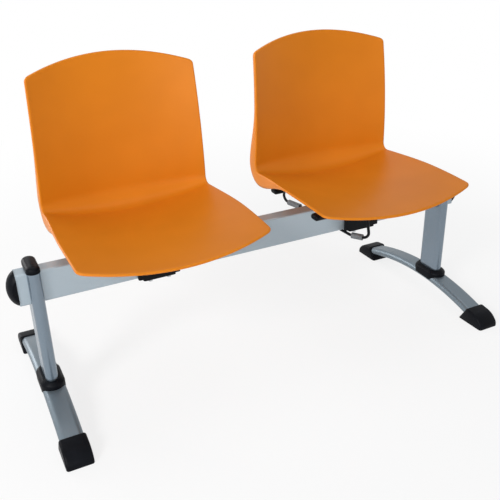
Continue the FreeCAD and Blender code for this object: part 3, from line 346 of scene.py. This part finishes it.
def paint_frame():
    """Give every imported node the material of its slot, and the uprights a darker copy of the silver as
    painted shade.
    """
    shaded_upright_silver = upright_silver_with_painted_shade()
    for part in frame["record"]["subparts"]:
        node = frame["nodes"][part["node"]]
        node.data.materials.clear()
        tube = part["node"] in ("upright_left", "upright_right")
        node.data.materials.append(shaded_upright_silver if tube else FINISHES[part["material_slot"]])


# Pieces

def finish_piece(name, form, nodes, slot, sharp=35.0):
    """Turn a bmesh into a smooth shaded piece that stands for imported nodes."""
    bmesh.ops.recalc_face_normals(form, faces=form.faces)
    mesh = bpy.data.meshes.new(name)
    form.to_mesh(mesh)
    form.free()
    for face in mesh.polygons:
        face.use_smooth = True
    mesh.set_sharp_from_angle(angle=math.radians(sharp))
    mesh.materials.append(FINISHES[slot])
    piece = bpy.data.objects.new(name, mesh)
    bpy.context.scene.collection.objects.link(piece)
    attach(piece, "root")
    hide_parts(*nodes)
    return piece


def edges_at(verts):
    """The edges that meet some vertices, each once and in a steady order."""
    return list(dict.fromkeys(edge for vert in verts for edge in vert.link_edges))


def new_verts(moved):
    return [item for item in moved if isinstance(item, bmesh.types.BMVert)]


def free_edges(moved):
    """The edges of an extruded rim that no other face joins yet."""
    return [item for item in moved if isinstance(item, bmesh.types.BMEdge) and item.is_boundary]


def rounded_edges(form, edges, radius, segments):
    bmesh.ops.bevel(form, geom=list(edges), offset=radius, segments=segments, affect="EDGES", profile=0.5,
                    material=-1, clamp_overlap=True)


# Seat shells

def ease(share):
    share = min(1.0, max(0.0, share))
    return share * share * (3 - 2 * share)


def mix(first, last, share):
    return first + (last - first) * share


def shell_heading(reach):
    """The side profile's heading in degrees, at a distance from the bend's start."""
    if reach < 0:
        return PAN_REAR_HEADING - PAN_BOW * reach / PAN_MIDDLE
    if reach < BEND:
        return PAN_REAR_HEADING + BEND_TURN * ease(reach / BEND)
    return PAN_REAR_HEADING + BEND_TURN - BACK_BOW * (reach - BEND) / BACK_MIDDLE


def shell_profile(reach):
    """Follow the side profile's headings to a place on it."""
    steps = int(abs(reach) / PROFILE_STEP) + 1
    step = reach / steps
    y, z = PAN_REAR_Y, PAN_REAR_Z
    for number in range(steps):
        heading = math.radians(shell_heading((number + 0.5) * step))
        y += math.cos(heading) * step
        z += math.sin(heading) * step
    return y, z, math.radians(shell_heading(reach))


def shell_half(reach):
    """Half the shell's width there."""
    if reach < 0:
        share = -reach / PAN_MIDDLE
        if share < 0.5:
            return mix(BEND_HALF, MIDDLE_HALF, ease(share * 2))
        return mix(MIDDLE_HALF, FRONT_HALF, ease(share * 2 - 1))
    return mix(BEND_HALF, TOP_HALF, max(0, reach - BEND) / BACK_MIDDLE)


def shell_dish(reach):
    """How far the shell's middle lies behind its edges there."""
    if reach < 0:
        return mix(BEND_DISH, FRONT_DISH, ease(-reach / PAN_MIDDLE))
    return mix(BEND_DISH, BACK_DISH, ease(reach / FADE))


def shell_rim(reach):
    """How deep the rim is folded back there."""
    if reach < 0:
        return mix(BEND_RIM, FRONT_RIM, ease(-reach / FADE))
    return mix(BEND_RIM, BACK_RIM, ease((reach - BEND) / FADE))


def shell_reach(across, along, inset):
    """Distance along the side profile from the bend's start, for a place on the flat sheet."""
    bow = across * across
    front = inset - mix(PAN_MIDDLE, PAN_SIDE, bow)
    top = BEND - inset + mix(BACK_MIDDLE, BACK_SIDE, bow)
    near, far = BEND_SHARES
    if along < near:
        return mix(front, -BEND / 2, along / near)
    if along < far:
        return mix(-BEND / 2, BEND * 1.5, (along - near) / (far - near))
    return mix(BEND * 1.5, top, (along - far) / (1 - far))


# The four layers of a moulding's mesh: sitting face, its rim's outer lip, inner lip and the face behind.
FACE, OUTER_LIP, INNER_LIP, BACK = range(4)


def shell_point(across, along, layer, seat_x):
    """A point of the formed moulding. Each layer has its depth behind the sitting face and its inset."""
    inset = 0.0 if layer in (FACE, OUTER_LIP) else WALL
    reach = shell_reach(across, along, inset)
    y, z, heading = shell_profile(reach)
    full = shell_half(reach)
    x = across * (full - inset)
    depth = {FACE: 0.0, BACK: WALL}.get(layer, shell_rim(reach))
    height = -shell_dish(reach) * (1 - (x / full) ** 2) - depth
    return Vector((seat_x + x, BEAM_MID.y + y - math.sin(heading) * height, z + math.cos(heading) * height))


def round_corner(across, along):
    """Draw the flat sheet's square corners in to rounds."""
    near, far = BEND_SHARES
    if along < near:
        radius, edge = FRONT_CORNER, along / near * PAN_SIDE
    elif along > far:
        radius, edge = TOP_CORNER, (1 - along) / (1 - far) * BACK_SIDE
    else:
        return across, along
    half = MIDDLE_HALF if along < near else TOP_HALF
    side = 1 - (1 - abs(across)) * half / radius
    end = 1 - edge / radius
    if side <= 0 or end <= 0:
        return across, along
    pull = max(side, end) / math.hypot(side, end)
    across = math.copysign(1 - (1 - side * pull) * radius / half, across)
    edge = (1 - end * pull) * radius
    if along < near:
        return across, edge / PAN_SIDE * near
    return across, 1 - edge / BACK_SIDE * (1 - far)


def fold_lip(form, sheet, edges, layer):
    """Extrude a sheet's outline to the rim's free edge and return the new edges."""
    folded = bmesh.ops.extrude_edge_only(form, edges=edges)["geom"]
    for vert in new_verts(folded):
        vert[sheet] = Vector((vert[sheet].x, vert[sheet].y, layer))
    return free_edges(folded)


def seat_shell(side_name, side):
    """Two flat grids, each with its outline folded back, joined at the rim and formed to the shell."""
    form = bmesh.new()
    sheet = form.verts.layers.float_vector.new("sheet")
    outlines = {}
    for layer in (FACE, BACK):
        grid = bmesh.ops.create_grid(form, x_segments=SHELL_COLUMNS, y_segments=SHELL_ROWS, size=1.0)
        for vert in grid["verts"]:
            across, along = round_corner(vert.co.x, (vert.co.y + 1) / 2)
            vert[sheet] = Vector((across, along, layer))
        outlines[layer] = free_edges(edges_at(grid["verts"]))
    outer = fold_lip(form, sheet, outlines[FACE], OUTER_LIP)
    inner = fold_lip(form, sheet, outlines[BACK], INNER_LIP)
    for vert in form.verts:
        across, along, layer = vert[sheet]
        vert.co = shell_point(across, along, round(layer), SEAT_X * side)
    bmesh.ops.bridge_loops(form, edges=outer + inner)
    rounded_edges(form, outlines[FACE], LIP_ROUND, 3)
    node = f"seat_shell_{side_name}"
    shell = finish_piece(f"moulded_shell_{side_name}", form, [node], "orange_plastic", 180)
    smooth = shell.modifiers.new("smooth", "SUBSURF")
    smooth.levels = 1
    smooth.render_levels = 1
    return shell


# Under the pan

def pan_place(x, y):
    """Height of the pan's sitting face over a place of the seat, found by halving."""
    front, rear = 0.0, BEND_SHARES[0]
    across = x / MIDDLE_HALF
    while rear - front > SEARCH_END:
        middle = (front + rear) / 2
        if shell_point(across, middle, FACE, 0).y < y:
            front = middle
        else:
            rear = middle
    return shell_point(across, rear, FACE, 0).z


def pan_rib(form, seat_x, start, end):
    """A thin wall from its straight lower edge up into the pan."""
    start, end = Vector((seat_x + start[0], start[1], 0)), Vector((seat_x + end[0], end[1], 0))
    low = CROSS_TOP + RIB_GAP
    across = Vector((end.y - start.y, start.x - end.x, 0)).normalized()
    strip = bmesh.ops.create_grid(form, x_segments=RIB_COLUMNS, y_segments=1, size=1.0)["verts"]
    for vert in strip:
        place = start.lerp(end, (vert.co.x + 1) / 2)
        place.z = low if vert.co.y < 0 else pan_place(place.x - seat_x, place.y) - WALL / 2
        vert.co = place - across * RIB_THICK / 2
    faces = list(dict.fromkeys(face for vert in strip for face in vert.link_faces))
    far = new_verts(bmesh.ops.extrude_face_region(form, geom=faces)["geom"])
    bmesh.ops.translate(form, verts=far, vec=across * RIB_THICK)


def screw_boss(form, seat_x, x, y):
    """A round post with a pilot hole and a soft foot where it meets the pan."""
    high = pan_place(x, y) - WALL / 2
    ring = bmesh.ops.create_circle(form, segments=BOSS_SIDES, radius=PILOT_RADIUS)["verts"]
    bmesh.ops.translate(form, verts=ring, vec=(seat_x + x, y, mix(CROSS_TOP, high, PILOT_SHARE)))
    edges = edges_at(ring)
    bmesh.ops.contextual_create(form, geom=edges)
    steps = ((CROSS_TOP, 1), (CROSS_TOP, BOSS_RADIUS / PILOT_RADIUS), (high - BOSS_FOOT_TALL, 1),
             (high, BOSS_FOOT_SWELL))
    for z, swell in steps:
        moved = bmesh.ops.extrude_edge_only(form, edges=edges)["geom"]
        verts, edges = new_verts(moved), free_edges(moved)
        bmesh.ops.translate(form, verts=verts, vec=(0, 0, z - verts[0].co.z))
        space = Matrix.Translation((-seat_x - x, -y, -z))
        bmesh.ops.scale(form, verts=verts, vec=(swell, swell, 1), space=space)
    bmesh.ops.contextual_create(form, geom=edges)


def pan_ribs(side_name, side):
    """Four ribs and four screw bosses under a pan."""
    form = bmesh.new()
    seat_x = SEAT_X * side
    for x in (-SCREW_X, SCREW_X):
        pan_rib(form, seat_x, (x, FRONT_BAR_Y), (x, REAR_BAR_Y))
    for y in (FRONT_BAR_Y, REAR_BAR_Y):
        pan_rib(form, seat_x, (-SCREW_X, y), (SCREW_X, y))
    for x in (-SCREW_X, SCREW_X):
        for y in (FRONT_BAR_Y, REAR_BAR_Y):
            screw_boss(form, seat_x, x, y)
    return finish_piece(f"pan_ribs_{side_name}", form, [f"seat_shell_{side_name}"], "orange_plastic")


# Shoes, collars and caps

def moved_rim(form, edges, lift, swell=(1, 1)):
    """Extrude a rim straight up by a lift, drawn in or out about its middle."""
    moved = bmesh.ops.extrude_edge_only(form, edges=edges)["geom"]
    verts = new_verts(moved)
    bmesh.ops.translate(form, verts=verts, vec=(0, 0, lift))
    middle = sum((vert.co for vert in verts), Vector()) / len(verts)
    space = Matrix.Translation(-middle)
    bmesh.ops.scale(form, verts=verts, vec=(*swell, 1), space=space)
    return free_edges(moved)


def stadium_rim(form, wide, deep, z):
    """A ring of edges: two half rounds of a width, drawn apart to a depth along Y."""
    ring = bmesh.ops.create_circle(form, segments=RING_SIDES, radius=wide / 2)["verts"]
    shift = (deep - wide) / 2
    front = [vert for vert in ring if vert.co.y < 0]
    rear = [vert for vert in ring if vert.co.y >= 0]
    bmesh.ops.translate(form, verts=front, vec=(0, -shift, z))
    bmesh.ops.translate(form, verts=rear, vec=(0, shift, z))
    return edges_at(ring)


def arch_height(y):
    """Height of the foot tube's centre line at a distance from the middle of the foot."""
    return ARCH_CREST - ARCH_RADIUS + math.sqrt(ARCH_RADIUS ** 2 - y ** 2)


def foot_shoe(side_name, side, end_name, end):
    """A moulded shoe: its side outline pulled to width, with a round nose and soft long edges."""
    form = bmesh.new()
    node = f"foot_cap_{side_name}_{end_name}"
    low, high = node_box(node)
    tip = low.y if end < 0 else -high.y
    nose, toe = (tip + SHOE_TOP_FRONT, SHOE_NOSE_TALL), (tip, SHOE_NOSE_FOOT)
    top_back = (tip + SHOE_TOP_BACK, SHOE_TALL)
    outline = (tip, 0), (tip + SHOE_LONG, 0), top_back, nose, toe
    side_face = form.faces.new([form.verts.new((-SHOE_WIDE / 2, y, z)) for y, z in outline])
    far = new_verts(bmesh.ops.extrude_face_region(form, geom=[side_face])["geom"])
    bmesh.ops.translate(form, verts=far, vec=(SHOE_WIDE, 0, 0))
    bmesh.ops.recalc_face_normals(form, faces=form.faces)
    for corner, radius in ((nose, SHOE_NOSE_ROUND), (toe, SHOE_TOE_ROUND), (top_back, SHOE_TOP_ROUND)):
        ridge = [edge for edge in form.edges
                 if all(math.dist(vert.co.yz, corner) < NEAR for vert in edge.verts)]
        rounded_edges(form, ridge, radius, 6)
    rims = [edge for edge in form.edges
            if abs(edge.verts[0].co.x - edge.verts[1].co.x) < NEAR and edge.calc_face_angle(0) > SQUARE_TURN
            and max(vert.co.z for vert in edge.verts) > NEAR]
    rounded_edges(form, rims, SHOE_SIDE_ROUND, 5)
    sole = [edge for edge in form.edges if max(vert.co.z for vert in edge.verts) < NEAR]
    rounded_edges(form, sole, SOLE_ROUND, 2)
    if end > 0:
        bmesh.ops.rotate(form, verts=form.verts, matrix=Matrix.Rotation(math.pi, 3, "Z"))
    bmesh.ops.translate(form, verts=form.verts, vec=(LEG_X * side, 0, 0))
    return finish_piece(f"foot_shoe_{side_name}_{end_name}", form, [node], "black_plastic", 40)


def foot_collar(side_name, side):
    """A sloped ring round the upright, its skirt following the foot tube."""
    form = bmesh.new()
    node = f"collar_{side_name}"
    size, upright = size_of(node), size_of(f"upright_{side_name}")
    top = node_box(node)[1].z
    skirt = stadium_rim(form, size.x, size.y, 0)
    for vert in form.verts:
        vert.co.z = arch_height(BEAM_MID.y + vert.co.y) - COLLAR_SINK
    shoulder = moved_rim(form, skirt, 0)
    for vert in {vert for edge in shoulder for vert in edge.verts}:
        vert.co.z = top - COLLAR_SLOPE
    lip_wide, lip_deep = size.x - 2 * COLLAR_SLOPE, size.y - 2 * COLLAR_SLOPE
    lip = moved_rim(form, shoulder, COLLAR_SLOPE, (lip_wide / size.x, lip_deep / size.y))
    mouth = moved_rim(form, lip, 0, ((upright.x + 2 * COLLAR_MOUTH_GAP) / lip_wide,
                                     (upright.y + 2 * COLLAR_MOUTH_GAP) / lip_deep))
    throat = moved_rim(form, mouth, -COLLAR_THROAT)
    bmesh.ops.bridge_loops(form, edges=throat + skirt)
    rounded_edges(form, shoulder, COLLAR_SHOULDER_ROUND, 3)
    top_edges = [edge for edge in form.edges if edge.calc_face_angle(0) > SHARP_TURN
                 and min(vert.co.z for vert in edge.verts) > top - COLLAR_TOP_BAND]
    rounded_edges(form, top_edges, COLLAR_MOUTH_ROUND, 3)
    bmesh.ops.translate(form, verts=form.verts, vec=(LEG_X * side, BEAM_MID.y, 0))
    return finish_piece(f"foot_collar_{side_name}", form, [node], "black_plastic", 50)


def upright_top(side_name, side):
    """A domed cap with a fine shadow line above its lower lip."""
    form = bmesh.new()
    node = f"upright_cap_{side_name}"
    size = size_of(node)
    top = node_box(node)[1].z - CROWN_STEPS * CROWN_RISE
    bottom = node_box(f"upright_{side_name}")[1].z
    under = stadium_rim(form, size.x, size.y, bottom)
    lip = moved_rim(form, under, CAP_LIP_TALL)
    narrow = (1 - 2 * SHADOW_DEEP / size.x, 1 - 2 * SHADOW_DEEP / size.y)
    groove = moved_rim(form, lip, SHADOW_SLOPE, narrow)
    above = moved_rim(form, groove, SHADOW_TALL)
    wide = (1 + 2 * SHADOW_DEEP / size.x, 1 + 2 * SHADOW_DEEP / size.y)
    body = moved_rim(form, above, SHADOW_SLOPE, wide)
    crown = moved_rim(form, body, top - bottom - CAP_LIP_TALL - SHADOW_TALL - 2 * SHADOW_SLOPE)
    bmesh.ops.contextual_create(form, geom=crown)
    bmesh.ops.contextual_create(form, geom=under)
    bmesh.ops.recalc_face_normals(form, faces=form.faces)
    rounded_edges(form, crown, CAP_CROWN_ROUND, 7)
    flat = max(form.faces, key=lambda face: face.calc_center_median().z)
    for _ in range(CROWN_STEPS):
        bmesh.ops.inset_region(form, faces=[flat], thickness=CROWN_STEP, depth=CROWN_RISE)
    bmesh.ops.translate(form, verts=form.verts, vec=(LEG_X * side, BEAM_MID.y, 0))
    return finish_piece(f"upright_top_{side_name}", form, [node], "black_plastic", 50)


# Stage

def make_floor():
    form = bmesh.new()
    bmesh.ops.create_grid(form, x_segments=2, y_segments=2, size=FLOOR_HALF)
    mesh = bpy.data.meshes.new("studio_floor")
    form.to_mesh(mesh)
    form.free()
    mesh.materials.append(studio_floor())
    floor = bpy.data.objects.new("studio_floor", mesh)
    bpy.context.scene.collection.objects.link(floor)


def soft_lamp(name, place, aim, width, power):
    light = bpy.data.lights.new(name, "AREA")
    light.shape = "RECTANGLE"
    light.size = width
    light.size_y = width
    light.energy = power
    lamp = bpy.data.objects.new(name, light)
    lamp.location = place
    lamp.rotation_euler = (Vector(aim) - Vector(place)).to_track_quat("-Z", "Y").to_euler()
    bpy.context.scene.collection.objects.link(lamp)


def make_lights():
    """Soft lamps: their place and aim in metres, the width of their square and their watts."""
    soft_lamp("key_lamp", (-3.8, -2.4, 2.8), (0, 0, 0.4), 1.3, 155)
    soft_lamp("low_panel", (-1.6, -3.0, 0.9), (-0.1, 0.2, 0.6), 1.2, 24)
    soft_lamp("top_lamp", (0.3, 0.6, 3.4), (0, 0, 0.3), 2.6, 22)
    soft_lamp("side_lamp", (2.9, -0.6, 0.8), (0.6, 0, 0.2), 0.45, 3.5)
    soft_lamp("rear_lamp", (-2.0, 3.2, 1.3), (0, 0, 0.6), 1.8, 50)


def make_world():
    """Even pale surroundings, white where the camera or a reflection looks past the floor."""
    world = bpy.data.worlds.new("studio")
    world.use_nodes = True
    nodes, links = world.node_tree.nodes, world.node_tree.links
    room = nodes["Background"]
    room.inputs["Color"].default_value = (0.92, 0.95, 1.0, 1)
    room.inputs["Strength"].default_value = 0.22
    backdrop = nodes.new("ShaderNodeBackground")
    backdrop.inputs["Color"].default_value = (1, 1, 1, 1)
    blend = nodes.new("ShaderNodeMixShader")
    links.new(seen_directly(nodes, links), blend.inputs["Fac"])
    links.new(room.outputs["Background"], blend.inputs[1])
    links.new(backdrop.outputs["Background"], blend.inputs[2])
    links.new(blend.outputs["Shader"], nodes["World Output"].inputs["Surface"])
    bpy.context.scene.world = world


# Camera, fitted to the photograph from the beam, the uprights and the seats' corners.
CAMERA_PLACE = (-0.75745, -1.50279, 1.07931)
CAMERA_HEADING = math.radians(26.16)
CAMERA_PITCH = math.radians(-25.80)
CAMERA_ROLL = math.radians(-1.37)
CAMERA_LENS = 49.25
CAMERA_SENSOR = 36.0


def make_camera():
    data = bpy.data.cameras.new("photo_camera")
    data.sensor_width = CAMERA_SENSOR
    data.lens = CAMERA_LENS
    camera = bpy.data.objects.new("photo_camera", data)
    turn = Matrix.Rotation(-CAMERA_HEADING, 4, "Z") @ Matrix.Rotation(math.radians(90) + CAMERA_PITCH, 4, "X")
    camera.matrix_world = Matrix.Translation(CAMERA_PLACE) @ turn @ Matrix.Rotation(CAMERA_ROLL, 4, "Z")
    bpy.context.scene.collection.objects.link(camera)
    bpy.context.scene.camera = camera


paint_frame()
for side_name, side in SIDES:
    seat_shell(side_name, side)
    pan_ribs(side_name, side)
    foot_shoe(side_name, side, "front", -1)
    foot_shoe(side_name, side, "rear", 1)
    foot_collar(side_name, side)
    upright_top(side_name, side)
make_floor()
make_lights()
make_world()
make_camera()
bpy.context.scene.view_settings.view_transform = "Standard"
